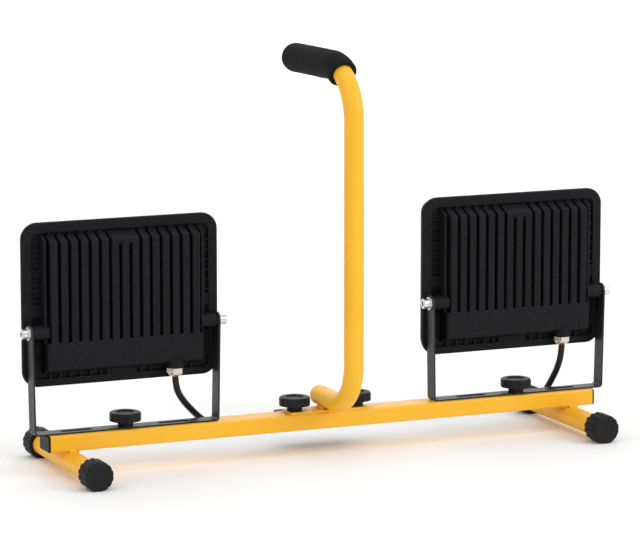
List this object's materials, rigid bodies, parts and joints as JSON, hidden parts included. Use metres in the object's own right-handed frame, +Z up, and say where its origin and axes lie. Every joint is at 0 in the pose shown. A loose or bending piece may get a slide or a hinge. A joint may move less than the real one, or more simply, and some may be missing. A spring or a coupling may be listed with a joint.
{
  "type": "work light",
  "caption": "Twin flood-lamp work light on an H-shaped tube stand with a foam-grip carrying handle; each lamp swivels and tilts and is clamped by a hand knob.",
  "frame": {"origin": "centre of the stand's bounding box at floor level", "axes": "+X along the crossbar, +Y the way the lamps shine and the grip points, +Z up"},
  "size_m": [0.5852, 0.168, 0.3704],
  "materials": {
    "yellow_paint": "satin yellow powder coat",
    "black_paint": "satin black powder coat",
    "black_aluminium": "black powder coat on die-cast aluminium",
    "black_rubber": "matt",
    "foam": "closed-cell foam",
    "black_plastic": "moulded",
    "zinc_steel": "bright zinc",
    "board_aluminium": "white solder mask",
    "led": "phosphor",
    "white_plastic": "moulded",
    "glass": "tempered",
    "seal_rubber": "silicone bead",
    "board_green": "circuit board",
    "nickel_brass": "nickel plated",
    "cord_rubber": "flexible rubber sheath"
  },
  "bodies": {
    "stand": {"crossbar": "yellow_paint", "crossbar_end_plugs": "black_plastic", "foam_grip": "foam", "foot_cap_left_back": "black_rubber", "foot_cap_left_front": "black_rubber", "foot_cap_right_back": "black_rubber", "foot_cap_right_front": "black_rubber", "handle_base_plate": "yellow_paint", "handle_tail_plug": "black_plastic", "handle_tube": "yellow_paint", "junction_box": "black_plastic", "junction_cover": "black_plastic", "junction_grommets": "black_rubber", "junction_screws": "zinc_steel", "lead_left_lower": "cord_rubber", "lead_right_lower": "cord_rubber", "leg_tube_left": "yellow_paint", "leg_tube_right": "yellow_paint", "mains_inlet_bush": "black_rubber", "terminal_block": "white_plastic", "terminal_screws": "zinc_steel", "threaded_inserts": "zinc_steel"},
    "bracket_left": {"u_bracket_left": "black_paint"},
    "head_left": {"housing_left": "black_aluminium", "led_board_left": "board_aluminium", "led_chips_left": "led", "reflector_left": "white_plastic", "board_screws_left": "zinc_steel", "front_glass_left": "glass", "glass_seal_left": "seal_rubber", "driver_board_left": "board_green", "pivot_bolts_left": "zinc_steel", "pivot_washers_left": "zinc_steel", "pivot_spring_washers_left": "zinc_steel", "gland_body_left": "nickel_brass", "gland_nut_left": "nickel_brass", "lead_left_upper": "cord_rubber"},
    "bracket_knob_left": {"bracket_knob_left": "black_plastic", "bracket_stud_left": "zinc_steel"},
    "handle_knob_left": {"handle_knob_left": "black_plastic", "handle_stud_left": "zinc_steel"},
    "bracket_right": {"u_bracket_right": "black_paint"},
    "head_right": {"housing_right": "black_aluminium", "led_board_right": "board_aluminium", "led_chips_right": "led", "reflector_right": "white_plastic", "board_screws_right": "zinc_steel", "front_glass_right": "glass", "glass_seal_right": "seal_rubber", "driver_board_right": "board_green", "pivot_bolts_right": "zinc_steel", "pivot_washers_right": "zinc_steel", "pivot_spring_washers_right": "zinc_steel", "gland_body_right": "nickel_brass", "gland_nut_right": "nickel_brass", "lead_right_upper": "cord_rubber"},
    "bracket_knob_right": {"bracket_knob_right": "black_plastic", "bracket_stud_right": "zinc_steel"},
    "handle_knob_right": {"handle_knob_right": "black_plastic", "handle_stud_right": "zinc_steel"}
  },
  "joints": [
    {"name": "swivel_left", "type": "hinge", "parent": "stand", "child": "bracket_left", "pos_m": [-0.1955, -0.004, 0.0375], "axis": [0, 0, 1], "range_deg": [-20, 45], "deforming": ["lead_left_lower"]},
    {"name": "tilt_left", "type": "hinge", "parent": "bracket_left", "child": "head_left", "pos_m": [-0.1955, -0.004, 0.1292], "axis": [1, 0, 0], "range_deg": [0, 60], "deforming": ["lead_left_upper"]},
    {"name": "bracket_knob_turn_left", "type": "hinge", "parent": "stand", "child": "bracket_knob_left", "pos_m": [-0.1955, -0.004, 0.0391], "axis": [0, 0, 1], "continuous": true},
    {"name": "handle_knob_turn_left", "type": "hinge", "parent": "stand", "child": "handle_knob_left", "pos_m": [-0.0305, -0.004, 0.0396], "axis": [0, 0, 1], "continuous": true},
    {"name": "swivel_right", "type": "hinge", "parent": "stand", "child": "bracket_right", "pos_m": [0.1955, -0.004, 0.0375], "axis": [0, 0, 1], "range_deg": [-20, 45], "deforming": ["lead_right_lower"]},
    {"name": "tilt_right", "type": "hinge", "parent": "bracket_right", "child": "head_right", "pos_m": [0.1955, -0.004, 0.1292], "axis": [1, 0, 0], "range_deg": [0, 60], "deforming": ["lead_right_upper"]},
    {"name": "bracket_knob_turn_right", "type": "hinge", "parent": "stand", "child": "bracket_knob_right", "pos_m": [0.1955, -0.004, 0.0391], "axis": [0, 0, 1], "continuous": true},
    {"name": "handle_knob_turn_right", "type": "hinge", "parent": "stand", "child": "handle_knob_right", "pos_m": [0.0305, -0.004, 0.0396], "axis": [0, 0, 1], "continuous": true}
  ]
}
